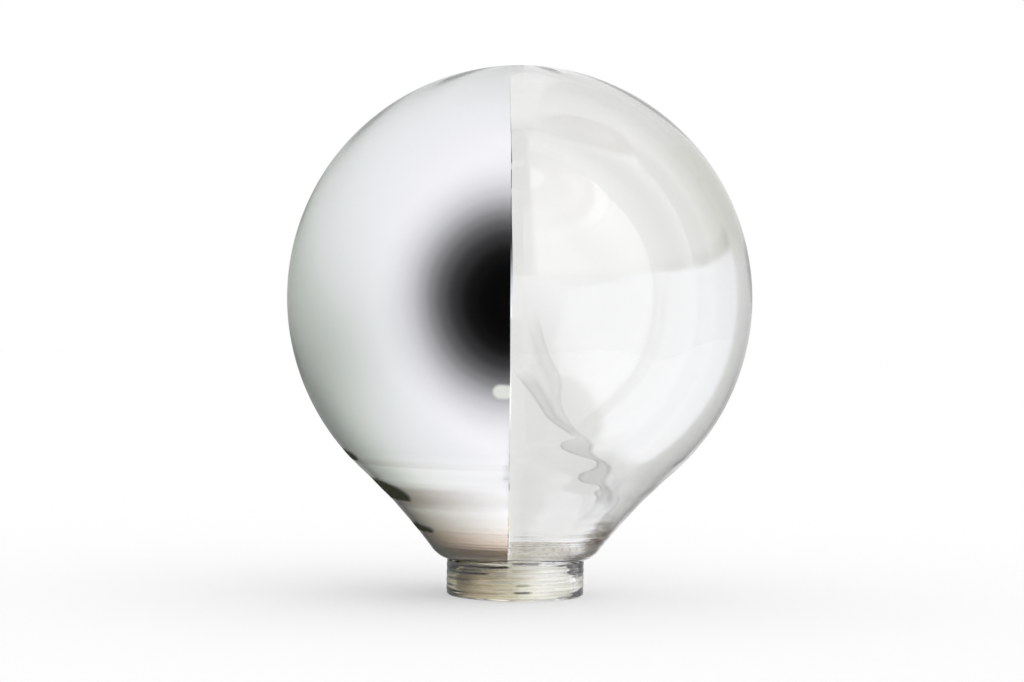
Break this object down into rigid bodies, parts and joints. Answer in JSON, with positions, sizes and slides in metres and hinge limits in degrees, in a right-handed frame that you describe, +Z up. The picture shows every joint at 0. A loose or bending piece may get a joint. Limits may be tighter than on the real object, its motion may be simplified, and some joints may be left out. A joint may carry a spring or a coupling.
{
  "type": "side mirror globe bulb glass",
  "caption": "Clear glass globe silvered inside on one half, narrowing to an open neck in a clear collar with a fine screw thread for a separate lamp base.",
  "frame": {"origin": "on the globe's axis, in the flat foot face of the collar that the glass stands on", "axes": "+Z up along the globe's axis from the neck to the crown; -X is the silvered side and +X the clear side; the picture looks along +Y"},
  "size_m": [0.125, 0.125, 0.1425],
  "materials": {
    "clear_glass": "clear blown glass, glossy inside and out",
    "silvering": "vacuum-metallised mirror on the inner wall",
    "clear_collar": "clear moulded plastic with a faint warm tint"
  },
  "bodies": {
    "root": {"globe_glass": "clear_glass", "mirror_film": "silvering", "threaded_collar": "clear_collar"}
  },
  "joints": []
}
